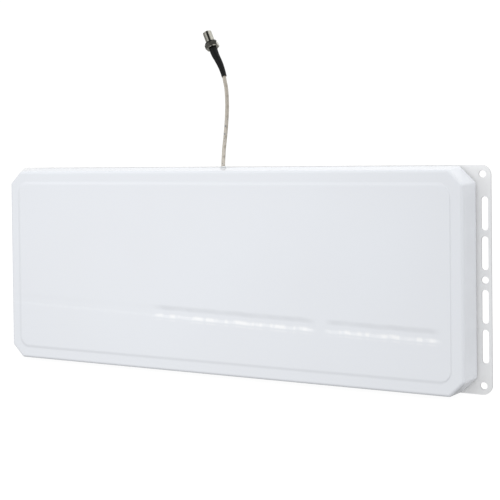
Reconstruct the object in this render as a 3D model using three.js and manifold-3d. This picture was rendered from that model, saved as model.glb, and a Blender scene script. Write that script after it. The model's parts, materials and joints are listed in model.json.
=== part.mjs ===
// Flat panel antenna for a wall or a mast, in millimetres.
// X runs along the panel, Z is up, and the radiating face looks towards -Y.
// The origin is the middle of the back plate's rear face, which lies on the wall.
import * as THREE from "three";
import { mergeVertices } from "three/addons/utils/BufferGeometryUtils.js";
import Module from "manifold-3d";

const wasm = await Module();
wasm.setup();

// ---- Driving dimensions -------------------------------------------------------------------

const GAP = 0.3; // clearance left between pieces that touch

const PLATE = { length: 720, height: 283, thickness: 3, cornerRadius: 12 };

// Each flange has one column of holes and slots, mirrored about the panel's middle.
const FLANGE = {
  holeDiameter: 9,
  cornerHoleX: 349.5,
  cornerHoleZ: 130.5,
  slotX: 352,
  slotWidth: 8.5,
  slotLength: 42,
  slotCentres: [33, 82],
};

const RADOME = {
  halfLength: 342,
  halfHeight: 140.5,
  rimY: -5,
  faceY: -53.7,
  draft: 4, // how far each wall leans in from rim to face
  chamferLeg: 20,
  verticalEdgeRadius: 5,
  edgeRadius: 4,
  wall: 3,
};

const PAD = { halfLength: 320, halfHeight: 117, cornerRadius: 12.2, rise: 0.9, ramp: 5.2 };

const GASKET = { inset: 1, width: 3.6 };

const BOSS = { radius: 4.5, pilotRadius: 2.05, pilotDepth: 18, ribThickness: 2.4 };
const BOSS_ROW_Z = 130.5;
const BOSS_ROW_X = [-290, -115, 115, 290];
const BOSS_END_X = 331;

const SCREW = { headRadius: 3.75, shankRadius: 1.75, coneDepth: 2, sunk: 0.2, length: 16 };
const COUNTERSINK = { mouthRadius: 4.4, throatRadius: 2.2, depth: 2.2 };

const TRAY = { length: 636, height: 240, sheet: 1.5, backY: -16, lip: 12 };
const STANDOFF = { acrossFlats: 7, boreRadius: 2.1, boreDepth: 9, spigotRadius: 2.7 };
const STANDOFF_PLACES = [
  [-300, -95],
  [-300, 95],
  [-107.5, 0],
  [107.5, 0],
  [300, -95],
  [300, 95],
];

const PATCH_PITCH = 215;
const PATCH_COUNT = 3;
const DRIVEN = { side: 150, thickness: 1.5, backY: -31 };
const DIRECTOR = { side: 134, thickness: 1.5, backY: -43 };
const POST_OFFSET = 55; // posts stand in a square about each patch's middle

const BOARD = { length: 480, height: 32, thickness: 1.6, z: -30 };
const BOARD_SCREW_X = [-160, 55, 160];
const FEED_PIN_RADIUS = 0.65;

const CABLE_RADIUS = 2.65;
const CABLE_EXIT = new THREE.Vector3(-5.2, -11, 142.1);
const CABLE_SPLIT_Z = 134.6; // inside the grommet, where the inner coax meets the pigtail

// The pigtail's hand-laid route, out through the grommet and up to the heat-shrink sleeve.
const PIGTAIL_ROUTE = [
  [-5.2, -11, CABLE_SPLIT_Z],
  [-5.2, -11, 142.1],
  [-4.9, -11, 149],
  [-4.1, -11.3, 157],
  [-2.9, -11.9, 167],
  [-1, -12.8, 178],
  [1.5, -14.2, 193],
  [3.5, -15.6, 207],
  [5, -17, 221],
  [5.6, -18.2, 233],
  [5.6, -19.1, 243],
  [4.9, -19.6, 251],
  [3.4, -19.8, 258.5],
];
const SLEEVE_STATIONS = [44, 38, 32, 26, 20]; // cable points behind the connector, along its axis

// The connector's own frame: the centre of its hexagon's rear face, and the way it points.
const CONNECTOR_BASE = new THREE.Vector3(-18.6, -11.8, 304);
const CONNECTOR_AXIS = new THREE.Vector3(-0.44, 0.17, 0.88).normalize();
const HEX = { acrossFlats: 17.5, thickness: 7, cornerRadius: 9.7 };
const THREAD = { radius: 6.3, length: 18.8 };
const FERRULE = { innerRadius: 3.1, outerRadius: 4, length: 11 };
const SLEEVE_LENGTH = 46;
const SLEEVE_PROFILE = [
  [3.6, -SLEEVE_LENGTH],
  [3.72, -40],
  [3.9, -35],
  [4.15, -31],
  [4.45, -26],
  [4.7, -21],
  [4.95, -16],
  [5.3, -10],
  [5.5, -6],
  [5.5, -GAP],
];
// Behind the ferrule the cable and its sleeve bow a little to one side.
const SLEEVE_BOW = { reach: 1.65, turn: 2.6, side: new THREE.Vector3(0.8, 0.52, 0.3).normalize() };
const O_RING = { ringRadius: 7.6, sectionRadius: 1 };

// ---- Geometry helpers ---------------------------------------------------------------------

/** A closed three.js geometry as a manifold solid, turned right side out. */
function solid(geometry) {
  const bare = geometry.index ? geometry.toNonIndexed() : geometry.clone();
  bare.deleteAttribute("normal");
  bare.deleteAttribute("uv");
  const merged = mergeVertices(bare, 1e-4);
  const vertProperties = new Float32Array(merged.attributes.position.array);
  const triVerts = new Uint32Array(merged.index.array);
  const made = new wasm.Manifold(new wasm.Mesh({ numProp: 3, vertProperties, triVerts }));
  if (made.volume() > 0) return made;
  for (let i = 0; i < triVerts.length; i += 3) {
    [triVerts[i + 1], triVerts[i + 2]] = [triVerts[i + 2], triVerts[i + 1]];
  }
  return new wasm.Manifold(new wasm.Mesh({ numProp: 3, vertProperties, triVerts }));
}

/** A manifold solid back as a three.js geometry. */
function geometryOf(manifold) {
  const mesh = manifold.getMesh();
  const geometry = new THREE.BufferGeometry();
  geometry.setAttribute("position", new THREE.BufferAttribute(mesh.vertProperties, 3));
  geometry.setIndex(new THREE.BufferAttribute(mesh.triVerts, 1));
  geometry.computeVertexNormals();
  return geometry;
}

const joined = (solids) => solids.reduce((whole, next) => whole.add(next));
const cutBy = (body, tools) => tools.reduce((left, tool) => left.subtract(tool), body);

/** A shape drawn in X and Z, extruded from yBack forwards to yFront. */
function slab(shape, yBack, yFront, curveSegments = 8) {
  const options = { depth: yBack - yFront, bevelEnabled: false, curveSegments };
  return solid(new THREE.ExtrudeGeometry(shape, options).rotateX(Math.PI / 2).translate(0, yBack, 0));
}

/** A box from one corner to the other. */
function block([x0, y0, z0], [x1, y1, z1]) {
  const box = new THREE.BoxGeometry(x1 - x0, y1 - y0, z1 - z0);
  return solid(box.translate((x0 + x1) / 2, (y0 + y1) / 2, (z0 + z1) / 2));
}

/** A profile of [radius, y] pairs turned about the Y direction through (x, z). */
function turned(profile, x = 0, z = 0, segments = 16) {
  const points = profile.map(([radius, y]) => new THREE.Vector2(radius, y));
  return solid(new THREE.LatheGeometry(points, segments).translate(x, 0, z));
}

/** A plain round bar along Y. */
const rod = (radius, yBack, yFront, x, z, segments) =>
  turned([[0, yFront], [radius, yFront], [radius, yBack], [0, yBack]], x, z, segments);

/** A tube wall along the lathe axis, closed on itself. */
const ringProfile = (inner, outer, low, high) => [
  [inner, low],
  [outer, low],
  [outer, high],
  [inner, high],
  [inner, low],
];

/** A rectangle with corner arcs. */
function roundedRectangle(halfWidth, halfHeight, radius) {
  const shape = new THREE.Shape();
  const cx = halfWidth - radius;
  const cz = halfHeight - radius;
  shape.absarc(cx, -cz, radius, -Math.PI / 2, 0);
  shape.absarc(cx, cz, radius, 0, Math.PI / 2);
  shape.absarc(-cx, cz, radius, Math.PI / 2, Math.PI);
  shape.absarc(-cx, -cz, radius, Math.PI, 1.5 * Math.PI);
  shape.closePath();
  return shape;
}

/** A rectangle with cut corners whose eight edges are softened, as a list of [x, z]. */
function chamferedOutline(halfLength, halfHeight, leg, radius, steps = 2) {
  const x = halfLength - radius;
  const z = halfHeight - radius;
  const cut = leg - radius * (2 - Math.SQRT2);
  const centres = [
    [x, z - cut],
    [x - cut, z],
    [cut - x, z],
    [-x, z - cut],
    [-x, cut - z],
    [cut - x, -z],
    [x - cut, -z],
    [x, cut - z],
  ];
  return centres.flatMap(([cx, cz], k) =>
    Array.from({ length: steps + 1 }, (_, i) => {
      const angle = ((k + i / steps) * Math.PI) / 4;
      return [cx + radius * Math.cos(angle), cz + radius * Math.sin(angle)];
    }),
  );
}

/** A solid skinned over convex outlines, each a list of [x, z] at its own y. */
function loft(sections) {
  const count = sections[0].outline.length;
  const points = sections.flatMap(({ outline, y }) => outline.flatMap(([x, z]) => [x, y, z]));
  const faces = [];
  for (let s = 0; s + 1 < sections.length; s += 1) {
    for (let i = 0; i < count; i += 1) {
      const a = s * count + i;
      const b = s * count + ((i + 1) % count);
      faces.push(a, b, a + count, b, b + count, a + count);
    }
  }
  const last = (sections.length - 1) * count;
  for (let i = 1; i + 1 < count; i += 1) {
    faces.push(0, i + 1, i, last, last + i, last + i + 1);
  }
  const geometry = new THREE.BufferGeometry();
  geometry.setAttribute("position", new THREE.Float32BufferAttribute(points, 3));
  geometry.setIndex(faces);
  return solid(geometry);
}

/** A round tube of the cable's size along a curve. */
function cableAlong(curve, steps) {
  const section = new THREE.Shape();
  section.absarc(0, 0, CABLE_RADIUS, 0, 2 * Math.PI);
  const options = { steps, extrudePath: curve, curveSegments: 5, bevelEnabled: false };
  return solid(new THREE.ExtrudeGeometry(section, options));
}

const curveThrough = (points) => new THREE.CatmullRomCurve3(points, false, "centripetal");

// ---- Back plate and its gasket ------------------------------------------------------------

const plateFront = -PLATE.thickness;

function slotPath(x, z) {
  const radius = FLANGE.slotWidth / 2;
  const reach = FLANGE.slotLength / 2 - radius;
  const path = new THREE.Path();
  path.absarc(x, z + reach, radius, 0, Math.PI);
  path.absarc(x, z - reach, radius, Math.PI, 2 * Math.PI);
  path.closePath();
  return path;
}

function holePath(x, z) {
  const path = new THREE.Path();
  path.absarc(x, z, FLANGE.holeDiameter / 2, 0, 2 * Math.PI);
  return path;
}

/** The countersunk hole that a flat-head screw sits in, entered from the rear face. */
function countersink([x, z]) {
  const profile = [
    [0, plateFront - 1],
    [COUNTERSINK.throatRadius, plateFront - 1],
    [COUNTERSINK.throatRadius, -COUNTERSINK.depth],
    [COUNTERSINK.mouthRadius, 0],
    [COUNTERSINK.mouthRadius, 1],
    [0, 1],
  ];
  return turned(profile, x, z, 12);
}

const radomeScrewPlaces = [
  ...BOSS_ROW_X.map((x) => [x, BOSS_ROW_Z]),
  [BOSS_END_X, 0],
  ...BOSS_ROW_X.toReversed().map((x) => [x, -BOSS_ROW_Z]),
  [-BOSS_END_X, 0],
];

function backPlate() {
  const shape = roundedRectangle(PLATE.length / 2, PLATE.height / 2, PLATE.cornerRadius);
  for (const side of [-1, 1]) {
    for (const z of [-FLANGE.cornerHoleZ, FLANGE.cornerHoleZ]) {
      shape.holes.push(holePath(side * FLANGE.cornerHoleX, z));
    }
    shape.holes.push(holePath(side * FLANGE.slotX, 0));
    for (const z of FLANGE.slotCentres) {
      shape.holes.push(slotPath(side * FLANGE.slotX, z), slotPath(side * FLANGE.slotX, -z));
    }
  }
  const screwHoles = [...radomeScrewPlaces, ...STANDOFF_PLACES].map(countersink);
  return cutBy(slab(shape, 0, plateFront), screwHoles);
}

function rimGasket() {
  const section = (inset, y) => ({
    outline: chamferedOutline(
      RADOME.halfLength - inset,
      RADOME.halfHeight - inset,
      RADOME.chamferLeg - inset * (2 - Math.SQRT2),
      RADOME.verticalEdgeRadius,
    ),
    y,
  });
  const back = plateFront - GAP;
  const front = RADOME.rimY + GAP;
  const inner = GASKET.inset + GASKET.width;
  const outside = loft([section(GASKET.inset, back), section(GASKET.inset, front)]);
  return outside.subtract(loft([section(inner, back + 1), section(inner, front - 1)]));
}

// ---- Radome -------------------------------------------------------------------------------

const draftSlope = RADOME.draft / (RADOME.rimY - RADOME.faceY);
const draftAngle = Math.atan(draftSlope);

/** A drafted box with a filleted front, inset by a wall thickness, from yRear to its face. */
function radomeBody(inset, yRear, faceY, filletRadius, filletSteps) {
  const leanAt = (y) => inset + draftSlope * (RADOME.rimY - y);
  const section = (lean, y) => ({
    outline: chamferedOutline(
      RADOME.halfLength - lean,
      RADOME.halfHeight - lean,
      RADOME.chamferLeg - lean * (2 - Math.SQRT2),
      RADOME.verticalEdgeRadius,
    ),
    y,
  });
  const centreY = faceY + filletRadius;
  const centreLean = leanAt(centreY) + filletRadius / Math.cos(draftAngle);
  const fillet = Array.from({ length: filletSteps + 1 }, (_, i) => {
    const angle = draftAngle + (i / filletSteps) * (Math.PI / 2 - draftAngle);
    const lean = centreLean - filletRadius * Math.cos(angle);
    return section(lean, centreY - filletRadius * Math.sin(angle));
  });
  return loft([section(leanAt(yRear), yRear), ...fillet]);
}

/** The raised field in the middle of the face, with a soft ramp around it. */
function facePad() {
  const steps = 4;
  const sections = [{ rise: -0.6, grow: PAD.ramp }];
  for (let i = 0; i <= steps; i += 1) {
    const t = i / steps;
    sections.push({ rise: (PAD.rise * (1 - Math.cos(Math.PI * t))) / 2, grow: PAD.ramp * (1 - t) });
  }
  const outline = ({ rise, grow }) => ({
    outline: roundedRectangle(PAD.halfLength + grow, PAD.halfHeight + grow, PAD.cornerRadius + grow)
      .getPoints(5)
      .slice(0, -1)
      .map(({ x, y }) => [x, y]),
    y: RADOME.faceY - rise,
  });
  return loft(sections.map(outline));
}

/** A screw pillar standing on the face's inside, ribbed to the nearest wall. */
function boss([x, z]) {
  const pillarBack = plateFront - GAP;
  const pillarFront = RADOME.faceY + RADOME.wall / 2;
  const pillar = rod(BOSS.radius, pillarBack, pillarFront, x, z, 12);
  const ribBack = RADOME.rimY - 3;
  const half = BOSS.ribThickness / 2;
  const wallReach = 7.2;
  const onEnd = z === 0;
  const sideX = Math.sign(x) * wallReach;
  const sideZ = Math.sign(z) * wallReach;
  const corners = onEnd
    ? [[Math.min(x, x + sideX), -half], [Math.max(x, x + sideX), half]]
    : [[x - half, Math.min(z, z + sideZ)], [x + half, Math.max(z, z + sideZ)]];
  const [[x0, z0], [x1, z1]] = corners;
  return pillar.add(block([x0, pillarFront, z0], [x1, ribBack, z1]));
}

const pilotHole = ([x, z]) =>
  rod(BOSS.pilotRadius, plateFront + 1, plateFront - BOSS.pilotDepth, x, z, 10);

const GROMMET_HOLE_RADIUS = 3.9;

function radome() {
  const outside = radomeBody(0, RADOME.rimY, RADOME.faceY, RADOME.edgeRadius, 4);
  const hollow = radomeBody(RADOME.wall, RADOME.rimY + 2, RADOME.faceY + RADOME.wall, 1.5, 2);
  const bosses = radomeScrewPlaces.map(boss).map((one) => one.intersect(bossKeep()));
  const skin = outside.add(facePad()).subtract(hollow);
  const cableHole = solid(
    new THREE.CylinderGeometry(GROMMET_HOLE_RADIUS, GROMMET_HOLE_RADIUS, 20, 20)
      .rotateX(Math.PI / 2)
      .translate(CABLE_EXIT.x, CABLE_EXIT.y, RADOME.halfHeight),
  );
  return cutBy(joined([skin, ...bosses]), [...radomeScrewPlaces.map(pilotHole), cableHole]);
}

/** The space that the screw pillars may fill: the radome's outer body, grown back to the plate. */
const bossKeep = () => radomeBody(1, plateFront, RADOME.faceY + 1, RADOME.edgeRadius, 1);

// ---- Reflector tray, its standoffs and the feed -------------------------------------------

const trayFront = TRAY.backY - TRAY.sheet;
const standoffFront = TRAY.backY + GAP;
const patchCentres = Array.from(
  { length: PATCH_COUNT },
  (_, i) => (i - (PATCH_COUNT - 1) / 2) * PATCH_PITCH,
);
const postPlaces = patchCentres.flatMap((x) => [
  [x - POST_OFFSET, -POST_OFFSET],
  [x - POST_OFFSET, POST_OFFSET],
  [x + POST_OFFSET, -POST_OFFSET],
  [x + POST_OFFSET, POST_OFFSET],
]);

function reflectorTray() {
  const x = TRAY.length / 2;
  const z = TRAY.height / 2;
  const lipFront = trayFront - TRAY.lip;
  const shell = block([-x, lipFront, -z], [x, TRAY.backY, z]).subtract(
    block(
      [-x + TRAY.sheet, lipFront - 1, -z + TRAY.sheet],
      [x - TRAY.sheet, trayFront, z - TRAY.sheet],
    ),
  );
  const notch = 3;
  const cornerNotches = [-1, 1].flatMap((sx) =>
    [-1, 1].map((sz) =>
      block(
        [sx * x - notch, lipFront - 1, sz * z - notch],
        [sx * x + notch, trayFront - 0.5, sz * z + notch],
      ),
    ),
  );
  const through = (radius, px, pz) => rod(radius, TRAY.backY + 1, trayFront - 1, px, pz, 10);
  return cutBy(shell, [
    ...cornerNotches,
    ...STANDOFF_PLACES.map(([px, pz]) => through(STANDOFF.spigotRadius + GAP, px, pz)),
    ...postPlaces.map(([px, pz]) => through(POST.clipRadius + GAP, px, pz)),
    ...patchCentres.map((px) => through(2.6, px, BOARD.z)),
    ...BOARD_SCREW_X.map((px) => through(1.6, px, BOARD.z)),
  ]);
}

/** A hexagonal standoff with a blind thread, its spigot clinched in the tray. */
function standoff([x, z]) {
  const back = plateFront - GAP;
  const radius = STANDOFF.acrossFlats / Math.sqrt(3);
  const column = turned([[0, standoffFront], [radius, standoffFront], [radius, back], [0, back]], x, z, 6);
  const spigot = rod(STANDOFF.spigotRadius, standoffFront + 1, trayFront, x, z, 12);
  const bore = rod(STANDOFF.boreRadius, back + 1, back - STANDOFF.boreDepth, x, z, 12);
  return column.add(spigot).subtract(bore);
}

/** A flat-head screw with a cross recess, its head just under the plate's rear face. */
function flatHeadScrew([x, z], length) {
  const top = -SCREW.sunk;
  const profile = [
    [0, top - length],
    [SCREW.shankRadius * 0.7, top - length],
    [SCREW.shankRadius, top - length + 1.2],
    [SCREW.shankRadius, top - SCREW.coneDepth],
    [SCREW.headRadius, top],
    [0, top],
  ];
  return cutBy(turned(profile, x, z, 12), crossRecess(x, top, z, 1.9, 1.4));
}

/** The two crossed grooves of a screw's drive, cut in from a head at y. */
function crossRecess(x, y, z, reach, depth) {
  const half = 0.4;
  return [
    block([x - reach, y - depth, z - half], [x + reach, y + 1, z + half]),
    block([x - half, y - depth, z - reach], [x + half, y + 1, z + reach]),
  ];
}

const boardBack = TRAY.backY + GAP + BOARD.thickness;

function feedBoard() {
  const board = block(
    [-BOARD.length / 2, TRAY.backY + GAP, BOARD.z - BOARD.height / 2],
    [BOARD.length / 2, boardBack, BOARD.z + BOARD.height / 2],
  );
  const drill = (radius, x) => rod(radius, boardBack + 1, TRAY.backY - 1, x, BOARD.z, 10);
  return cutBy(board, [
    ...patchCentres.map((x) => drill(FEED_PIN_RADIUS + GAP, x)),
    ...BOARD_SCREW_X.map((x) => drill(1.8, x)),
  ]);
}

const feedPin = (x) =>
  rod(FEED_PIN_RADIUS, boardBack + 1, DRIVEN.backY - DRIVEN.thickness - 1, x, BOARD.z, 8);

/** A pan-head screw that holds the feed board to the tray from behind. */
function boardScrew(x) {
  const seat = boardBack + GAP;
  const profile = [
    [0, trayFront - 1],
    [1.3, trayFront - 1],
    [1.3, seat],
    [2.8, seat],
    [2.8, seat + 1.2],
    [1.9, seat + 2],
    [0, seat + 2],
  ];
  return cutBy(turned(profile, x, BOARD.z, 12), crossRecess(x, seat + 2, BOARD.z, 1.6, 1));
}

// ---- Patches and the posts that hold them -------------------------------------------------

const POST = { clipRadius: 2.5, footRadius: 5, neckRadius: 2.7, tipRadius: 1.5, barb: 0.7 };

/** A square sheet patch with clipped corners and a hole for each post. */
function patch(centreX, { side, thickness, backY }, postHoleRadius, pinned) {
  const half = side / 2;
  const clip = 6;
  const outline = new THREE.Shape([
    new THREE.Vector2(centreX - half + clip, -half),
    new THREE.Vector2(centreX + half - clip, -half),
    new THREE.Vector2(centreX + half, clip - half),
    new THREE.Vector2(centreX + half, half - clip),
    new THREE.Vector2(centreX + half - clip, half),
    new THREE.Vector2(centreX - half + clip, half),
    new THREE.Vector2(centreX - half, half - clip),
    new THREE.Vector2(centreX - half, clip - half),
  ]);
  const drill = (radius, x, z) => rod(radius, backY + 1, backY - thickness - 1, x, z, 10);
  const holes = [-1, 1].flatMap((sx) =>
    [-1, 1].map((sz) => drill(postHoleRadius, centreX + sx * POST_OFFSET, sz * POST_OFFSET)),
  );
  if (pinned) holes.push(drill(FEED_PIN_RADIUS + GAP, centreX, BOARD.z));
  return cutBy(slab(outline, backY, backY - thickness), holes);
}

/** A nylon post clipped in the tray; both patches push on over its barbs from the front. */
function patchPost([x, z]) {
  const drivenFront = DRIVEN.backY - DRIVEN.thickness;
  const directorFront = DIRECTOR.backY - DIRECTOR.thickness;
  const profile = [
    [0, TRAY.backY + 1.6],
    [1.9, TRAY.backY + 1.6],
    [POST.clipRadius, TRAY.backY + GAP],
    [POST.clipRadius, trayFront - GAP],
    [POST.footRadius, trayFront - GAP],
    [POST.footRadius - 0.8, DRIVEN.backY + GAP],
    [POST.neckRadius, DRIVEN.backY + GAP],
    [POST.neckRadius, drivenFront - GAP],
    [POST.neckRadius + POST.barb, drivenFront - GAP],
    [POST.neckRadius, drivenFront - GAP - 2.5],
    [POST.neckRadius, DIRECTOR.backY + GAP],
    [POST.tipRadius, DIRECTOR.backY + GAP],
    [POST.tipRadius, directorFront - GAP],
    [POST.tipRadius + POST.barb, directorFront - GAP],
    [POST.tipRadius - 0.5, directorFront - GAP - 2],
    [0, directorFront - GAP - 2],
  ];
  return turned(profile, x, z, 8);
}

// ---- Cable, grommet and connector ---------------------------------------------------------

/** A white bush in the radome's top wall: inner collar, neck and a low outer dome. */
function cableGrommet() {
  const bore = CABLE_RADIUS + GAP;
  const profile = [
    [bore, 133],
    [4.9, 133],
    [4.9, 136.2],
    [GROMMET_HOLE_RADIUS - GAP, 136.2],
    [GROMMET_HOLE_RADIUS - GAP, 140.7],
    [4.8, 140.7],
    [4.6, 141.4],
    [3.9, 142],
    [bore, 142.2],
    [bore, 133],
  ].map(([radius, height]) => new THREE.Vector2(radius, height));
  return solid(
    new THREE.LatheGeometry(profile, 20)
      .rotateX(Math.PI / 2)
      .translate(CABLE_EXIT.x, CABLE_EXIT.y, 0),
  );
}

/** The coax inside the box, from the grommet down to the middle of the feed board. */
function coaxInside() {
  const route = [
    [CABLE_EXIT.x, CABLE_EXIT.y, CABLE_SPLIT_Z - GAP],
    [CABLE_EXIT.x, CABLE_EXIT.y, 124],
    [-5, -10.2, 108],
    [-4, -9.4, 84],
    [-2.5, -9.2, 56],
    [-1, -9.2, 28],
    [0, -9.6, 4],
    [0, -10.8, -14],
    [0, -11, -24],
  ];
  return cableAlong(curveThrough(route.map((point) => new THREE.Vector3(...point))), 18);
}

const connectorPoint = (distance) =>
  CONNECTOR_BASE.clone().addScaledVector(CONNECTOR_AXIS, distance);

/** How far the cable has bowed off the connector's axis, at a distance behind the hexagon. */
function bowAt(distance) {
  const along = (distance - FERRULE.length) / (SLEEVE_LENGTH - FERRULE.length);
  return along > 0 ? SLEEVE_BOW.reach * Math.sin(SLEEVE_BOW.turn * along) : 0;
}

function pigtailCable() {
  const route = PIGTAIL_ROUTE.map((point) => new THREE.Vector3(...point));
  const tail = SLEEVE_STATIONS.map((station) =>
    connectorPoint(-station).addScaledVector(SLEEVE_BOW.side, bowAt(station)),
  );
  const end = connectorPoint(-FERRULE.length - GAP);
  return cableAlong(curveThrough([...route, ...tail, end]), 32);
}

/** A geometry made along Y from zero, moved into the connector's frame. */
function onConnector(geometry) {
  const up = new THREE.Vector3(0, 1, 0);
  const turn = new THREE.Quaternion().setFromUnitVectors(up, CONNECTOR_AXIS);
  return geometry.applyQuaternion(turn).translate(...CONNECTOR_BASE.toArray());
}

function turnedOnConnector(profile, segments = 20) {
  const points = profile.map(([radius, height]) => new THREE.Vector2(radius, height));
  return solid(onConnector(new THREE.LatheGeometry(points, segments)));
}

/** The shrunk sleeve: a wall around the ferrule and the cable, bowed with the cable. */
function heatShrink() {
  const cableClear = CABLE_RADIUS + GAP;
  const ferruleClear = FERRULE.outerRadius + GAP;
  const sleeve = turnedOnConnector([
    ...SLEEVE_PROFILE,
    [ferruleClear, -GAP],
    [ferruleClear, -FERRULE.length - 1],
    [cableClear, -FERRULE.length - 3],
    [cableClear, -21],
    [cableClear, -26],
    [cableClear, -31],
    [cableClear, -35],
    [cableClear, -40],
    [cableClear, -SLEEVE_LENGTH],
    SLEEVE_PROFILE[0],
  ]);
  return sleeve.warp((vertex) => {
    const behind = CONNECTOR_BASE.clone().sub(new THREE.Vector3(...vertex)).dot(CONNECTOR_AXIS);
    const bow = SLEEVE_BOW.side.clone().multiplyScalar(bowAt(behind));
    vertex[0] += bow.x;
    vertex[1] += bow.y;
    vertex[2] += bow.z;
  });
}

const crimpFerrule = () =>
  turnedOnConnector(
    ringProfile(FERRULE.innerRadius, FERRULE.outerRadius, -FERRULE.length, -GAP),
  );

const CORE = { stemRadius: 2.8, bore: 4.6, boreFloor: 12 };
const threadEnd = HEX.thickness + THREAD.length;

function connectorBody() {
  const hexRadius = HEX.acrossFlats / Math.sqrt(3);
  const hexPrism = solid(
    onConnector(
      new THREE.CylinderGeometry(hexRadius, hexRadius, HEX.thickness, 6).translate(0, HEX.thickness / 2, 0),
    ),
  );
  const turnedCorners = turnedOnConnector(
    [
      [0, 0],
      [HEX.cornerRadius - 1.3, 0],
      [HEX.cornerRadius + 0.2, 0.9],
      [HEX.cornerRadius + 0.2, HEX.thickness - 0.5],
      [HEX.cornerRadius - 0.6, HEX.thickness],
      [0, HEX.thickness],
    ],
    24,
  );
  const barrel = turnedOnConnector([
    [0, -FERRULE.length + 1],
    [CORE.stemRadius, -FERRULE.length + 1],
    [CORE.stemRadius, 1],
    [THREAD.radius - 0.6, 1],
    [THREAD.radius - 0.6, HEX.thickness + 1.2],
    [THREAD.radius, HEX.thickness + 1.8],
    [THREAD.radius, threadEnd - 0.6],
    [THREAD.radius - 0.6, threadEnd],
    [0, threadEnd],
  ]);
  const mouth = turnedOnConnector([
    [0, CORE.boreFloor],
    [CORE.bore, CORE.boreFloor],
    [CORE.bore, threadEnd + 1],
    [0, threadEnd + 1],
  ]);
  return hexPrism.intersect(turnedCorners).add(barrel).subtract(mouth);
}

const connectorInsulator = () =>
  turnedOnConnector(ringProfile(1.5, CORE.bore - GAP, CORE.boreFloor + GAP, threadEnd - 4), 16);

const connectorContact = () =>
  turnedOnConnector(
    [
      [0, CORE.boreFloor + GAP],
      [1.15, CORE.boreFloor + GAP],
      [1.15, threadEnd - 2.6],
      [0.7, threadEnd - 2.2],
      [0.7, threadEnd - 6],
      [0, threadEnd - 6],
    ],
    12,
  );

function connectorORing() {
  const ring = new THREE.TorusGeometry(O_RING.ringRadius, O_RING.sectionRadius, 8, 24);
  const height = HEX.thickness + GAP + O_RING.sectionRadius;
  return solid(onConnector(ring.rotateX(Math.PI / 2).translate(0, height, 0)));
}

// ---- Materials and assembly ---------------------------------------------------------------

const FINISHES = {
  powder_coat: { color: 0xeef0f2, roughness: 0.4, metalness: 0 },
  radome_plastic: { color: 0xf0f2f5, roughness: 0.28, metalness: 0 },
  gasket_rubber: { color: 0x6d6e6c, roughness: 0.8, metalness: 0 },
  white_silicone: { color: 0xe9ecee, roughness: 0.5, metalness: 0 },
  sheet_aluminium: { color: 0xc9ccd0, roughness: 0.35, metalness: 1 },
  nylon: { color: 0xe6e2d6, roughness: 0.5, metalness: 0 },
  plated_steel: { color: 0xb4b8bc, roughness: 0.3, metalness: 1 },
  circuit_board: { color: 0x2f6b45, roughness: 0.5, metalness: 0 },
  brass: { color: 0xc8a24e, roughness: 0.3, metalness: 1 },
  cable_jacket: { color: 0xc0b8ac, roughness: 0.45, metalness: 0 },
  shrink_black: { color: 0x1c1e1e, roughness: 0.55, metalness: 0 },
  nickel: { color: 0xb9b7ae, roughness: 0.2, metalness: 1 },
  ptfe: { color: 0xf4f3ee, roughness: 0.45, metalness: 0 },
};

const panel = new THREE.Group();

function addPiece(name, finish, body) {
  const mesh = new THREE.Mesh(geometryOf(body), new THREE.MeshStandardMaterial(FINISHES[finish]));
  mesh.name = name;
  panel.add(mesh);
}

function addPieces(name, finish, places, make) {
  places.forEach((place, i) => addPiece(`${name}_${i + 1}`, finish, make(place)));
}

addPiece("back_plate", "powder_coat", backPlate());
addPiece("rim_gasket", "gasket_rubber", rimGasket());
addPiece("radome", "radome_plastic", radome());
addPieces("radome_screw", "plated_steel", radomeScrewPlaces, (place) =>
  flatHeadScrew(place, SCREW.length),
);

addPiece("reflector_tray", "sheet_aluminium", reflectorTray());
addPieces("tray_standoff", "plated_steel", STANDOFF_PLACES, standoff);
addPieces("tray_screw", "plated_steel", STANDOFF_PLACES, (place) => flatHeadScrew(place, 9));
addPieces("driven_patch", "sheet_aluminium", patchCentres, (x) =>
  patch(x, DRIVEN, POST.neckRadius + GAP, true),
);
addPieces("director_patch", "sheet_aluminium", patchCentres, (x) =>
  patch(x, DIRECTOR, POST.tipRadius + GAP, false),
);
addPieces("patch_post", "nylon", postPlaces, patchPost);

addPiece("feed_board", "circuit_board", feedBoard());
addPieces("feed_pin", "brass", patchCentres, feedPin);
addPieces("board_screw", "plated_steel", BOARD_SCREW_X, boardScrew);
addPiece("coax_inside", "cable_jacket", coaxInside());

addPiece("cable_grommet", "white_silicone", cableGrommet());
addPiece("pigtail_cable", "cable_jacket", pigtailCable());
addPiece("heat_shrink", "shrink_black", heatShrink());
addPiece("crimp_ferrule", "nickel", crimpFerrule());
addPiece("connector_body", "nickel", connectorBody());
addPiece("connector_o_ring", "gasket_rubber", connectorORing());
addPiece("connector_insulator", "ptfe", connectorInsulator());
addPiece("connector_contact", "brass", connectorContact());

export default panel;
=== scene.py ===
"""Looks for the flat panel antenna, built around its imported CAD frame.

Metres throughout: +X runs along the panel, +Z is up and the radiating face looks towards -Y.
"""

import json
import math

import bmesh
import bpy
from mathutils import Matrix, Vector, noise


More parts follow.
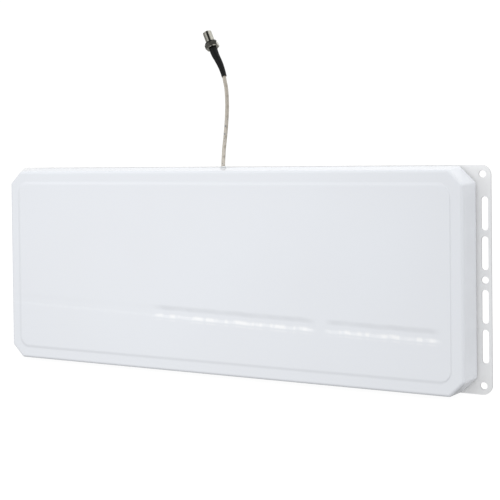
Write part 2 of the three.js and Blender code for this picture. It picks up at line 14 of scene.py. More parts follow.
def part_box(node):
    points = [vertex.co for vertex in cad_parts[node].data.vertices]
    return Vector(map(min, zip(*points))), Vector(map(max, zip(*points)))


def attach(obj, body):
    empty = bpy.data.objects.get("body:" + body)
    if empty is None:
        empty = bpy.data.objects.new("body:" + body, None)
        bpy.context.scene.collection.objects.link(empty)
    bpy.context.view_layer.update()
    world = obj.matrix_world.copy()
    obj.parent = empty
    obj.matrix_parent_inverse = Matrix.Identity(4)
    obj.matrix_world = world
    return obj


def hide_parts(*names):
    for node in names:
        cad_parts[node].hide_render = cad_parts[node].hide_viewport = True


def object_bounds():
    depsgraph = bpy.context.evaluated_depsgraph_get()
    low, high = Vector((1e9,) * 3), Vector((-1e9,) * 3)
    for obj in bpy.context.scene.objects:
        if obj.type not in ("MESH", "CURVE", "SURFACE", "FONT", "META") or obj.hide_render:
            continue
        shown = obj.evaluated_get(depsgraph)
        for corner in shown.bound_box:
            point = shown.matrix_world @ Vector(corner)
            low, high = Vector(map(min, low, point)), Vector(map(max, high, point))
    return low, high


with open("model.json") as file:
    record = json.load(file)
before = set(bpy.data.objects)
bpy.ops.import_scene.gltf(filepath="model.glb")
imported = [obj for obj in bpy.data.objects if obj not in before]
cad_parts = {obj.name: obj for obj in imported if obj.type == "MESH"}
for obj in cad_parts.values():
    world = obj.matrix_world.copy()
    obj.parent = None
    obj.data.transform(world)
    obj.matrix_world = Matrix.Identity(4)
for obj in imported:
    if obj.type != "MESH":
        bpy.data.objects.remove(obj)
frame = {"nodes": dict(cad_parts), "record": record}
CAD_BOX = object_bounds()
MM = 0.001


# ---- Camera -------------------------------------------------------------------------------

CAMERA_PLACE = Vector((0.6536, -1.2597, 0.1558))
CAMERA_YAW = 26.22  # degrees to the right of the panel's normal
CAMERA_DOWN = 0.97
CAMERA_ROLL = -0.64


def make_camera():
    data = bpy.data.cameras.new("camera")
    data.lens = 74.12
    data.sensor_width = 36
    data.shift_x = -0.0039
    data.shift_y = -0.1535
    data.clip_end = 30
    camera = bpy.data.objects.new("camera", data)
    bpy.context.scene.collection.objects.link(camera)
    camera.matrix_world = (
        Matrix.Translation(CAMERA_PLACE)
        @ Matrix.Rotation(math.radians(CAMERA_YAW), 4, "Z")
        @ Matrix.Rotation(math.radians(90 - CAMERA_DOWN), 4, "X")
        @ Matrix.Rotation(math.radians(CAMERA_ROLL), 4, "Z")
    )
    bpy.context.scene.camera = camera


make_camera()


# ---- Material nodes -----------------------------------------------------------------------


class Shader:
    """One node material: a Principled shader with helpers for its procedural inputs."""

    def __init__(self, name, colour, roughness, metallic=0.0, **sockets):
        self.material = bpy.data.materials.new(name)
        self.material.use_nodes = True
        self.tree = self.material.node_tree
        self.shader = self.tree.nodes["Principled BSDF"]
        self.shader.inputs["Base Color"].default_value = (*colour, 1)
        self.shader.inputs["Roughness"].default_value = roughness
        self.shader.inputs["Metallic"].default_value = metallic
        for socket, value in sockets.items():
            self.shader.inputs[socket.replace("_", " ")].default_value = value
        self.height = None

    def node(self, kind, **settings):
        made = self.tree.nodes.new("ShaderNode" + kind)
        for key, value in settings.items():
            setattr(made, key, value)
        return made

    def link(self, source, target):
        self.tree.links.new(source, target)

    def coordinates(self, stretch=(1, 1, 1), turn=(0, 0, 0), source="Object"):
        """Row-frame metres, stretched and turned for one texture."""
        mapping = self.node("Mapping")
        mapping.inputs["Scale"].default_value = stretch
        mapping.inputs["Rotation"].default_value = [math.radians(angle) for angle in turn]
        self.link(self.node("TexCoord").outputs[source], mapping.inputs["Vector"])
        return mapping.outputs["Vector"]

    def noise(self, size, detail=3.0, **where):
        """Noise with features of about the given size in metres."""
        made = self.node("TexNoise")
        made.inputs["Scale"].default_value = 1 / size
        made.inputs["Detail"].default_value = detail
        self.link(self.coordinates(**where), made.inputs["Vector"])
        return made.outputs["Fac"]

    def cells(self, size, output="Distance", **where):
        made = self.node("TexVoronoi")
        made.inputs["Scale"].default_value = 1 / size
        self.link(self.coordinates(**where), made.inputs["Vector"])
        return made.outputs[output]

    def bands(self, size, direction="X", distortion=0.0, **where):
        """Parallel bands. The wave texture turns 20 radians for each unit of its scale."""
        made = self.node("TexWave", wave_type="BANDS", bands_direction=direction)
        made.inputs["Scale"].default_value = 1 / (size * 20)
        made.inputs["Distortion"].default_value = distortion
        self.link(self.coordinates(**where), made.inputs["Vector"])
        return made.outputs["Fac"]

    def ramp(self, factor, *stops):
        """Stops are (position, value or colour)."""
        made = self.node("ValToRGB")
        elements = made.color_ramp.elements
        while len(elements) < len(stops):
            elements.new(0.5)
        for element, (position, value) in zip(elements, stops):
            element.position = position
            colour = value if hasattr(value, "__len__") else (value,) * 3
            element.color = (*colour, 1)
        self.link(factor, made.inputs["Fac"])
        return made.outputs["Color"]

    def math(self, operation, first, second):
        made = self.node("Math", operation=operation)
        for socket, value in zip(made.inputs, (first, second)):
            if isinstance(value, (int, float)):
                socket.default_value = value
            else:
                self.link(value, socket)
        return made.outputs["Value"]

    def mix(self, factor, first, second):
        """Mixes two colours, each a plain one or another node's output."""
        made = self.node("Mix", data_type="RGBA")
        self.link(factor, made.inputs["Factor"])
        for socket, value in ((made.inputs[6], first), (made.inputs[7], second)):
            if hasattr(value, "__len__"):
                socket.default_value = (*value, 1)
            else:
                self.link(value, socket)
        return made.outputs[2]

    def colour(self, output):
        self.link(output, self.shader.inputs["Base Color"])

    def spread(self, value, low, high, to_low=0.0, to_high=1.0, smooth=False):
        """Maps low..high to to_low..to_high, clamped."""
        made = self.node("MapRange", interpolation_type="SMOOTHSTEP" if smooth else "LINEAR")
        ends = ("From Min", "From Max", "To Min", "To Max")
        for name, number in zip(ends, (low, high, to_low, to_high)):
            made.inputs[name].default_value = number
        self.link(value, made.inputs["Value"])
        return made.outputs["Result"]

    def roughness(self, factor, low, high):
        self.link(self.spread(factor, 0, 1, low, high), self.shader.inputs["Roughness"])

    def bump(self, height, depth, strength=1.0):
        """Adds relief of the given depth in metres, on top of any relief made before."""
        made = self.node("Bump")
        made.inputs["Strength"].default_value = strength
        made.inputs["Distance"].default_value = depth
        self.link(height, made.inputs["Height"])
        if self.height is not None:
            self.link(self.height, made.inputs["Normal"])
        self.height = made.outputs["Normal"]
        self.link(self.height, self.shader.inputs["Normal"])


def radome_plastic():
    """Moulded white plastic with a soft gloss, and one shallow crease low across its face, with a
    highlight painted along the crease's lower fold.
    """
    s = Shader("radome_plastic", (0.8, 0.815, 0.84), 0.22, IOR=1.5)
    cloud = s.noise(0.16, detail=2)
    plain = s.mix(cloud, (0.835, 0.85, 0.88), (0.855, 0.882, 0.922))
    s.roughness(s.noise(0.05, detail=4), 0.18, 0.27)
    s.bump(s.noise(0.06, detail=2, stretch=(0.5, 1, 1.6)), 0.1 * MM)
    s.bump(s.noise(0.0012, detail=1), 0.002 * MM)
    painted_highlight = crease(s)
    # Painted highlight: the base colour goes near white along the crease's lower fold.
    s.colour(s.mix(painted_highlight, plain, PAINTED_HIGHLIGHT_COLOUR))
    return s.material


# The crease runs along the panel, a little downhill, with one gap.
CREASE_START = -88 * MM
CREASE_END = 306 * MM
CREASE_GAP = 154 * MM
CREASE_HEIGHT = -63 * MM
CREASE_FALL = -0.022  # how far it drops for each metre along the panel
CREASE_WANDER = 3 * MM
CREASE_DEPTH = 1.7 * MM
CREASE_FLOOR = 0.2  # the dent's level at the foot of its upper flank
FAINT_DENT = 0.13  # what is left of the dent, and of the painted highlight, before the start
FAINT_HIGHLIGHT = 0.08
# Near white for the painted highlight along the crease's lower fold.
PAINTED_HIGHLIGHT_COLOUR = (0.98, 0.985, 0.99)


def crease(s):
    """Adds a horizontal dent. Gives back where a highlight is painted along its lower fold."""

    def product(*factors):
        result = factors[0]
        for factor in factors[1:]:
            result = s.math("MULTIPLY", result, factor)
        return result

    def along_noise(size, detail, rise=0):
        return s.noise(size, detail=detail, stretch=(1, 0, rise))

    def distance_to(value, centre):
        return s.math("ABSOLUTE", s.math("SUBTRACT", value, centre), 0)

    where = s.node("SeparateXYZ")
    s.link(s.node("TexCoord").outputs["Object"], where.inputs["Vector"])
    along, up = where.outputs["X"], where.outputs["Z"]
    middle = s.math("ADD", product(along, CREASE_FALL), CREASE_HEIGHT)
    wander = s.math("SUBTRACT", along_noise(22 * MM, 2), 0.5)
    middle = s.math("ADD", middle, product(wander, CREASE_WANDER))
    across = s.math("SUBTRACT", up, middle)

    lower_flank = s.spread(across, 3 * MM, -3 * MM, smooth=True)
    upper_flank = s.spread(across, 7 * MM, 15.5 * MM, CREASE_FLOOR, 1, smooth=True)
    dent = s.math("MAXIMUM", lower_flank, upper_flank)
    starts = s.spread(along, CREASE_START - 15 * MM, CREASE_START + 15 * MM, smooth=True)
    ends = s.spread(along, CREASE_END + 8 * MM, CREASE_END - 8 * MM, smooth=True)
    off_gap = s.spread(distance_to(along, CREASE_GAP), 3 * MM, 20 * MM, smooth=True)
    swell = s.spread(along_noise(30 * MM, 1), 0.34, 0.62, 0.75, 1, smooth=True)
    depth = product(s.math("MAXIMUM", starts, FAINT_DENT), ends, off_gap, swell)
    s.bump(product(depth, s.math("SUBTRACT", dent, 1)), CREASE_DEPTH)

    below = product(
        s.spread(across, 2 * MM, -12 * MM), s.spread(up, -118 * MM, -100 * MM)
    )
    streaks = s.noise(5 * MM, detail=3, stretch=(0.08, 1, 1))
    s.bump(product(streaks, below), 0.06 * MM)

    # Where the highlight is painted: broken dashes along the fold, and a fainter echo below it.
    dashes = s.spread(along_noise(11 * MM, 1, rise=0.25), 0.4, 0.6, 0.22, 1, smooth=True)
    line = s.spread(distance_to(across, 0), 4.2 * MM, 0.6 * MM, smooth=True)
    echo = s.spread(distance_to(across, -5.6 * MM), 2.2 * MM, 0, 0, 0.3)
    reach = product(s.math("MAXIMUM", starts, FAINT_HIGHLIGHT), ends, off_gap)
    return product(s.math("ADD", line, echo), dashes, reach)


def powder_coat():
    """White coated sheet. Faces turned away from front and back, its punched edges, are coloured
    mid grey.
    """
    s = Shader("powder_coat", (0.92, 0.925, 0.93), 0.4, IOR=1.5)
    facing = s.node("SeparateXYZ")
    s.link(s.node("TexCoord").outputs["Normal"], facing.inputs["Vector"])
    flat = s.spread(s.math("ABSOLUTE", facing.outputs["Y"], 0), 0.5, 0.8)
    paint = s.mix(s.noise(0.09, detail=4), (0.955, 0.96, 0.96), (0.98, 0.98, 0.98))
    s.colour(s.mix(flat, (0.5, 0.5, 0.5), paint))
    s.roughness(s.noise(0.02), 0.34, 0.46)
    s.bump(s.noise(0.0016, detail=2), 0.012 * MM)
    return s.material


def gasket_rubber():
    s = Shader("gasket_rubber", (0.07, 0.07, 0.066), 0.8)
    s.colour(s.mix(s.noise(0.02, detail=5), (0.05, 0.05, 0.048), (0.1, 0.098, 0.092)))
    s.bump(s.cells(0.0011), 0.05 * MM)
    return s.material


def seal_rubber():
    s = Shader("seal_rubber", (0.012, 0.012, 0.012), 0.35)
    s.roughness(s.noise(0.002), 0.28, 0.5)
    s.bump(s.noise(0.0006), 0.01 * MM)
    return s.material


def white_silicone():
    s = Shader("white_silicone", (0.82, 0.83, 0.83), 0.5, Subsurface_Weight=0.1)
    s.shader.inputs["Subsurface Radius"].default_value = (2 * MM, 2 * MM, 2 * MM)
    s.colour(s.mix(s.noise(0.004), (0.8, 0.81, 0.81), (0.86, 0.87, 0.87)))
    s.roughness(s.noise(0.003), 0.4, 0.6)
    s.bump(s.noise(0.0009), 0.012 * MM)
    return s.material


def rolled_aluminium(name, light, grain_turn):
    """Mill-finish sheet: long fine rolling lines, with soft patches."""
    s = Shader(name, (light, light, light * 1.01), 0.34, metallic=1.0, Anisotropic=0.4)
    lines = s.noise(0.0008, detail=3, stretch=(0.02, 1, 1), turn=grain_turn)
    s.colour(
        s.mix(
            s.noise(0.05, detail=5),
            (light * 0.92, light * 0.93, light * 0.95),
            (light, light, light * 1.02),
        )
    )
    s.roughness(lines, 0.25, 0.45)
    s.bump(lines, 0.008 * MM)
    return s.material


def plated_steel():
    s = Shader("plated_steel", (0.6, 0.61, 0.63), 0.3, metallic=1.0)
    patches = s.cells(0.0016, output="Color")
    s.colour(s.mix(s.noise(0.004, detail=4), (0.5, 0.52, 0.55), (0.68, 0.69, 0.7)))
    s.roughness(patches, 0.22, 0.42)
    s.bump(s.noise(0.0007, detail=4), 0.01 * MM)
    return s.material


def nylon():
    s = Shader("nylon", (0.82, 0.8, 0.74), 0.45, Subsurface_Weight=0.15)
    s.shader.inputs["Subsurface Radius"].default_value = (3 * MM, 2 * MM, 1.5 * MM)
    s.colour(s.mix(s.noise(0.006, detail=4), (0.78, 0.755, 0.69), (0.85, 0.835, 0.78)))
    s.roughness(s.noise(0.002), 0.38, 0.52)
    s.bump(s.noise(0.0012), 0.01 * MM)
    return s.material


def circuit_board():
    """Green solder mask over copper runs, on a woven glass board."""
    s = Shader("circuit_board", (0.03, 0.16, 0.07), 0.35, Coat_Weight=0.3)
    runs = s.ramp(s.bands(0.008, direction="Z", distortion=0.0), (0.44, 0.0), (0.5, 1.0))
    weave = s.bands(0.0006, direction="X")
    s.colour(s.mix(runs, (0.02, 0.11, 0.045), (0.055, 0.22, 0.085)))
    s.roughness(s.noise(0.004), 0.28, 0.42)
    s.bump(weave, 0.006 * MM)
    s.bump(runs, 0.03 * MM)
    return s.material


def brass():
    s = Shader("brass", (0.83, 0.62, 0.27), 0.24, metallic=1.0)
    s.colour(s.mix(s.noise(0.002, detail=4), (0.74, 0.53, 0.22), (0.87, 0.67, 0.31)))
    s.roughness(s.noise(0.0008), 0.16, 0.34)
    s.bump(s.noise(0.0003), 0.003 * MM)
    return s.material


def braided_coax():
    """A clear beige jacket over a fine braid, with soft drawn stripes and a few dark specks."""
    s = Shader("braided_coax", (0.5, 0.46, 0.4), 0.36, Coat_Weight=0.25, Coat_Roughness=0.15)
    around = dict(source="UV")
    one = s.bands(0.0011, direction="DIAGONAL", stretch=(1, 1, 0), **around)
    other = s.bands(0.0011, direction="DIAGONAL", stretch=(1, -1, 0), **around)
    strands = s.math("MAXIMUM", one, other)
    stripes = s.noise(0.004, detail=1, stretch=(0.04, 1, 1), **around)
    shade = s.ramp(stripes, (0.35, (0.475, 0.43, 0.365)), (0.62, (0.6, 0.555, 0.485)))
    woven = s.mix(s.ramp(strands, (0.1, 1), (0.6, 0)), shade, (0.4, 0.36, 0.3))
    specks = s.ramp(s.noise(0.005, detail=0, stretch=(1, 1.6, 1), **around), (0.745, 0), (0.765, 1))
    s.colour(s.mix(specks, woven, (0.2, 0.22, 0.25)))
    s.roughness(stripes, 0.3, 0.42)
    s.bump(strands, 0.03 * MM, strength=0.5)
    return s.material


def coax_jacket():
    """The same jacket where it runs unseen inside the box."""
    s = Shader("coax_jacket", (0.5, 0.44, 0.36), 0.38, Coat_Weight=0.3, Coat_Roughness=0.15)
    s.colour(s.mix(s.noise(0.003, detail=3), (0.42, 0.37, 0.3), (0.6, 0.54, 0.46)))
    s.bump(s.bands(0.0011, direction="Z"), 0.03 * MM)
    return s.material


def shrink_black():
    s = Shader("shrink_black", (0.008, 0.009, 0.009), 0.5, Specular_IOR_Level=0.22)
    drawn = s.noise(0.0014, detail=3, stretch=(0.12, 1, 1), source="UV")
    s.colour(s.mix(drawn, (0.006, 0.0065, 0.0065), (0.014, 0.015, 0.015)))
    s.roughness(s.noise(0.003, detail=4, source="UV"), 0.42, 0.6)
    s.bump(drawn, 0.04 * MM, strength=0.6)
    s.bump(s.noise(0.006, detail=2), 0.2 * MM)
    return s.material


def nickel():
    s = Shader("nickel", (0.7, 0.68, 0.63), 0.14, metallic=1.0)
    s.colour(s.mix(s.noise(0.003, detail=4), (0.47, 0.455, 0.39), (0.58, 0.565, 0.505)))
    s.roughness(s.noise(0.0015, detail=5), 0.06, 0.15)
    s.bump(s.noise(0.0004, detail=4), 0.002 * MM)
    return s.material


def ptfe():
    s = Shader("ptfe", (0.86, 0.86, 0.84), 0.5, Subsurface_Weight=0.1)
    s.shader.inputs["Subsurface Radius"].default_value = (1.5 * MM,) * 3
    s.colour(s.mix(s.noise(0.002), (0.84, 0.84, 0.82), (0.9, 0.9, 0.88)))
    s.bump(s.bands(0.0004, direction="Z"), 0.004 * MM)
    return s.material


FINISHES = {
    "radome_plastic": radome_plastic(),
    "powder_coat": powder_coat(),
    "gasket_rubber": gasket_rubber(),
    "seal_rubber": seal_rubber(),
    "white_silicone": white_silicone(),
    "sheet_aluminium": rolled_aluminium("sheet_aluminium", 0.74, (0, 0, 0)),
    "patch_aluminium": rolled_aluminium("patch_aluminium", 0.79, (0, 90, 0)),
    "plated_steel": plated_steel(),
    "nylon": nylon(),
    "circuit_board": circuit_board(),
    "brass": brass(),
    "cable_jacket": coax_jacket(),
    "shrink_black": shrink_black(),
    "nickel": nickel(),
    "ptfe": ptfe(),
}


# ---- Mesh helpers -------------------------------------------------------------------------


def add_piece(name, mesh, slot, stands_for, material=None, sharp_angle=32):
    """Shades a new piece, and sets it in for its CAD node on the panel's one body."""
    for polygon in mesh.polygons:
        polygon.use_smooth = True
    mesh.set_sharp_from_angle(angle=math.radians(sharp_angle))
    mesh.materials.clear()
    mesh.materials.append(material or FINISHES[slot])
    piece = bpy.data.objects.new(name, mesh)
    bpy.context.scene.collection.objects.link(piece)
    weighted = piece.modifiers.new("flat faces stay flat", "WEIGHTED_NORMAL")
    weighted.weight = 100
    weighted.keep_sharp = True
    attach(piece, "root")
    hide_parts(stands_for)
    return piece


def skin(name, rings, closed_ends=True, uv=None):
    """A mesh skinned over rings of points that all have the same count."""
    count = len(rings[0])
    vertices = [point for ring in rings for point in ring]
    faces = []
    for row in range(len(rings) - 1):
        for i in range(count):
            a = row * count + i
            b = row * count + (i + 1) % count
            faces.append((a, b, b + count, a + count))
    if closed_ends:
        faces.append(tuple(reversed(range(count))))
        faces.append(tuple(range(len(vertices) - count, len(vertices))))
    mesh = bpy.data.meshes.new(name)
    mesh.from_pydata(vertices, [], faces)
    if uv is not None:
        write_uv(mesh, count, uv)
    face_outwards(mesh)
    return mesh


def write_uv(mesh, count, along):
    """Metres along and around a tube, so that its textures run with it."""
    lengths, girth = along
    layer = mesh.uv_layers.new(name="along_and_around")
    for polygon in mesh.polygons:
        if len(polygon.loop_indices) != 4:
            continue
        for corner, loop in enumerate(polygon.loop_indices):
            vertex = mesh.loops[loop].vertex_index
            row, i = divmod(vertex, count)
            wraps = corner in (1, 2) and i == 0
            turn = (i + (count if wraps else 0)) / count
            layer.data[loop].uv = (lengths[row], turn * girth)


def face_outwards(mesh):
    work = bmesh.new()
    work.from_mesh(mesh)
    bmesh.ops.recalc_face_normals(work, faces=work.faces)
    work.to_mesh(mesh)
    work.free()


def merged(name, meshes):
    """Several meshes as one."""
    work = bmesh.new()
    for mesh in meshes:
        work.from_mesh(mesh)
    joined = bpy.data.meshes.new(name)
    work.to_mesh(joined)
    work.free()
    return joined


def cut(mesh, tool_mesh):
    """The mesh with the tool taken away."""
    body = bpy.data.objects.new("cut body", mesh)
    tool = bpy.data.objects.new("cut tool", tool_mesh)
    for each in (body, tool):
        bpy.context.scene.collection.objects.link(each)
    boolean = body.modifiers.new("cut", "BOOLEAN")
    boolean.operation = "DIFFERENCE"
    boolean.solver = "EXACT"
    boolean.object = tool
    depsgraph = bpy.context.evaluated_depsgraph_get()
    result = bpy.data.meshes.new_from_object(body.evaluated_get(depsgraph))
    for each in (body, tool):
        bpy.data.objects.remove(each)
    return result


def turned(name, profile, place=Matrix.Identity(4), segments=64, shape=None, closed=False):
    """Turns (radius, height) pairs about Z, then puts them in place.

    shape may change a radius by its angle and height; closed joins the profile's two ends.
    """
    shape = shape or (lambda angle, radius, height: radius)
    rows = profile + profile[:1] if closed else profile
    rings = []
    for radius, height in rows:
        ring = []
        for i in range(segments):
            angle = 2 * math.pi * i / segments
            r = shape(angle, radius, height)
            ring.append(place @ Vector((r * math.cos(angle), r * math.sin(angle), height)))
        rings.append(ring)
    lengths = [0.0]
    for (r0, h0), (r1, h1) in zip(rows, rows[1:]):
        lengths.append(lengths[-1] + math.hypot(r1 - r0, h1 - h0))
    girth = 2 * math.pi * max(radius for radius, _ in rows)
    mesh = skin(name, rings, closed_ends=not closed, uv=(lengths, girth))
    if closed:
        weld(mesh)
    return mesh


def weld(mesh, distance=0.002 * MM):
    work = bmesh.new()
    work.from_mesh(mesh)
    bmesh.ops.remove_doubles(work, verts=work.verts, dist=distance)
    bmesh.ops.recalc_face_normals(work, faces=work.faces)
    work.to_mesh(mesh)
    work.free()


def rounded(profile, radius, steps=4):
    """A closed profile of (radius, height) corners, each softened by a small arc."""
    soft = []
    count = len(profile)
    for i, corner in enumerate(profile):
        here = Vector(corner)
        before = Vector(profile[i - 1]) - here
        after = Vector(profile[(i + 1) % count]) - here
        reach = min(radius, before.length * 0.45, after.length * 0.45)
        start = here + before.normalized() * reach
        end = here + after.normalized() * reach
        for step in range(steps + 1):
            t = step / steps
            soft.append(tuple(start * (1 - t) ** 2 + here * 2 * t * (1 - t) + end * t**2))
    return soft


# ---- Pigtail: the cable, its sleeve and its connector ---------------------------------------

CABLE_DIAMETER = 5.3 * MM
CABLE_EXIT = Vector((-5.2, -11, 142.1)) * MM
PIGTAIL_ROUTE = [
    (-5.2, -11, 134.6),
    (-5.2, -11, 142.1),
    (-4.9, -11, 149),
    (-4.1, -11.3, 157),
    (-2.9, -11.9, 167),
    (-1, -12.8, 178),
    (1.5, -14.2, 193),
    (3.5, -15.6, 207),
    (5, -17, 221),
    (5.6, -18.2, 233),
    (5.6, -19.1, 243),
    (4.9, -19.6, 251),
    (3.4, -19.8, 258.5),
]
SLEEVE_STATIONS = [44, 38, 32, 26, 20]
CONNECTOR_BASE = Vector((-18.6, -11.8, 304)) * MM
CONNECTOR_AXIS = Vector((-0.44, 0.17, 0.88)).normalized()
FERRULE_LENGTH = 11 * MM
SLEEVE_LENGTH = 46 * MM
SLEEVE_BOW = 1.65 * MM  # how far the cable and its sleeve stray from the connector's axis
SLEEVE_BOW_SIDE = Vector((0.8, 0.52, 0.3)).normalized()
GAP = 0.3 * MM


def connector_point(distance):
    return CONNECTOR_BASE + CONNECTOR_AXIS * distance


def bow_at(distance):
    """The sideways stray at a distance behind the hexagon. The ferrule keeps its end straight."""
    along = (distance - FERRULE_LENGTH) / (SLEEVE_LENGTH - FERRULE_LENGTH)
    return SLEEVE_BOW_SIDE * SLEEVE_BOW * math.sin(2.6 * along) if along > 0 else Vector()


def cable_route():
    """The listed points of the pigtail, from the grommet to the back of the connector."""
    laid = [Vector(point) * MM for point in PIGTAIL_ROUTE]
    stations = [station * MM for station in SLEEVE_STATIONS]
    tail = [connector_point(-station) + bow_at(station) for station in stations]
    return laid + tail + [connector_point(-FERRULE_LENGTH - GAP)]


def smooth_path(points, spacing):
    """Points at an even spacing along a smooth curve through the given ones."""
    curve = bpy.data.curves.new("path", "CURVE")
    curve.dimensions = "3D"
    curve.resolution_u = 24
    spline = curve.splines.new("BEZIER")
    spline.bezier_points.add(len(points) - 1)
    for target, point in zip(spline.bezier_points, points):
        target.co = point
        target.handle_left_type = target.handle_right_type = "AUTO"
    holder = bpy.data.objects.new("path", curve)
    bpy.context.scene.collection.objects.link(holder)
    depsgraph = bpy.context.evaluated_depsgraph_get()
    fine = [vertex.co.copy() for vertex in holder.evaluated_get(depsgraph).to_mesh().vertices]
    bpy.data.objects.remove(holder)
    even = [fine[0]]
    walked = 0.0
    for a, b in zip(fine, fine[1:]):
        walked += (b - a).length
        if walked >= spacing:
            even.append(b)
            walked = 0.0
    if (even[-1] - fine[-1]).length > spacing * 0.3:
        even.append(fine[-1])
    return even


def tube(name, path, radius_at, sides=24):
    """A round tube along a path, without twist. radius_at takes the distance and the angle."""
    tangents = [
        (path[min(i + 1, len(path) - 1)] - path[max(i - 1, 0)]).normalized()
        for i in range(len(path))
    ]
    side = tangents[0].cross(Vector((0, 1, 0))).normalized()
    rings = []
    lengths = []
    walked = 0.0
    for i, (point, tangent) in enumerate(zip(path, tangents)):
        if i:
            walked += (point - path[i - 1]).length
            side = (side - tangent * side.dot(tangent)).normalized()
        other = tangent.cross(side)
        lengths.append(walked)
        ring = []
        for k in range(sides):
            angle = 2 * math.pi * k / sides
            out = side * math.cos(angle) + other * math.sin(angle)
            ring.append(point + out * radius_at(walked, angle))
        rings.append(ring)
    return skin(name, rings, uv=(lengths, math.pi * CABLE_DIAMETER))


def connector_place():
    """Turns +Z to the way the connector points, and starts at its hexagon's rear face."""
    turn = CONNECTOR_AXIS.to_track_quat("Z", "Y").to_matrix().to_4x4()
    return Matrix.Translation(CONNECTOR_BASE) @ turn


def make_cable():
    path = smooth_path(cable_route(), 2.2 * MM)

    def radius_at(distance, angle):
        lump = noise.noise(Vector((distance * 70, math.cos(angle) * 0.4, 3.1)))
        return CABLE_DIAMETER / 2 * (1 + 0.025 * lump)

    cable = add_piece(
        "pigtail_coax",
        tube("pigtail_coax", path, radius_at),
        "cable_jacket",
        "pigtail_cable",
        material=braided_coax(),
        sharp_angle=60,
    )
    return cable, path


def make_heat_shrink(place):
    """A sleeve drawn down over the cable and the ferrule, its wall thin at the tail."""
    outer = [
        (3.3, -46),
        (3.55, -45.4),
        (3.6, -44),
        (3.72, -40),
        (3.9, -35),
        (4.15, -31),
        (4.45, -26),
        (4.7, -21),
        (4.95, -16),
        (5.15, -13),
        (5.3, -10),
        (5.5, -6),
        (5.5, -1.2),
        (5.3, -0.45),
    ]
    inner = [(4.3, -0.35), (4.3, -12), (2.95, -14), (2.95, -21), (2.95, -26), (2.95, -31)]
    inner += [(2.95, -35), (2.95, -40), (2.95, -45.7)]
    profile = [(radius * MM, height * MM) for radius, height in outer + inner]

    def shape(angle, radius, height):
        if radius < 3.25 * MM or height > -1 * MM:
            return radius
        swell = noise.noise(Vector((math.cos(angle), math.sin(angle), height * 130)))
        return radius * (1 + 0.02 * swell)

    mesh = turned("sleeve", profile, place, 48, shape, closed=True)
    for vertex in mesh.vertices:
        vertex.co += bow_at((CONNECTOR_BASE - vertex.co).dot(CONNECTOR_AXIS))
    return add_piece("shrink_sleeve", mesh, "shrink_black", "heat_shrink", sharp_angle=50)


HEX_FLATS = 17.5 * MM
HEX_THICKNESS = 7 * MM
HEX_CORNER = 9.7 * MM
THREAD_RADIUS = 6.3 * MM
THREAD_PITCH = 0.907 * MM
THREAD_DEPTH = 0.2 * MM
THREAD_LENGTH = 18.8 * MM
BORE_RADIUS = 4.6 * MM
BORE_FLOOR = 12 * MM
O_RING_RADIUS = 7.6 * MM
O_RING_SECTION = 1 * MM
FERRULE_RADII = (3.1 * MM, 4 * MM)
DIELECTRIC_BORE = 1.5 * MM


def hexagon_collar(place):
    """The hexagonal flange, with its corners turned off at both faces."""

    def shape(angle, radius, height):
        folded = (angle + math.pi / 6) % (math.pi / 3) - math.pi / 6
        return min(radius, HEX_FLATS / 2 / math.cos(folded))

    bevel = 0.9 * MM
    profile = [
        (5.2 * MM, 0.0),
        (HEX_CORNER - 1.9 * MM, 0.0),
        (HEX_CORNER - 1.3 * MM, 0.08 * MM),
        (HEX_CORNER, bevel),
        (HEX_CORNER + 0.5 * MM, bevel * 1.35),
        (HEX_CORNER + 0.5 * MM, HEX_THICKNESS - 0.7 * MM),
        (HEX_CORNER - 0.2 * MM, HEX_THICKNESS - 0.3 * MM),
        (HEX_CORNER - 1.0 * MM, HEX_THICKNESS),
        (5.2 * MM, HEX_THICKNESS),
    ]
    return turned("hexagon", profile, place, 96, shape)


def threaded_barrel(place):
    """The barrel with its fine thread, a relief behind it, a lead-in and the open mouth."""
    start = HEX_THICKNESS + 1.8 * MM
    end = HEX_THICKNESS + THREAD_LENGTH
    steps = 100
    crest = [
        (THREAD_RADIUS, start + (end - 0.7 * MM - start) * i / steps) for i in range(steps + 1)
    ]

    def shape(angle, radius, height):
        if radius < THREAD_RADIUS - 0.01 * MM:
            return radius
        turn = (height / THREAD_PITCH - angle / (2 * math.pi)) % 1
        ridge = abs(2 * turn - 1)
        fade = min(1, (height - start) / MM, (end - 0.7 * MM - height) / (0.6 * MM))
        return radius - THREAD_DEPTH * (1 - ridge) * max(0, fade)

    profile = [
        (5.7 * MM, HEX_THICKNESS - 0.5 * MM),
        (5.7 * MM, start - 0.5 * MM),
        *crest,
        (THREAD_RADIUS - 0.55 * MM, end - 0.12 * MM),
        (THREAD_RADIUS - 0.7 * MM, end),
        (BORE_RADIUS + 0.15 * MM, end),
        (BORE_RADIUS, end - 0.15 * MM),
        (BORE_RADIUS, BORE_FLOOR),
        (0.3 * MM, BORE_FLOOR),
    ]
    return turned("barrel", profile, place, 48, shape)


def rear_stem(place):
    profile = [(radius * MM, height * MM) for radius, height in [
        (0.6, -10),
        (2.6, -10),
        (2.8, -9.8),
        (2.8, 0.4),
        (0.6, 0.4),
    ]]
    return turned("stem", profile, place, 40)


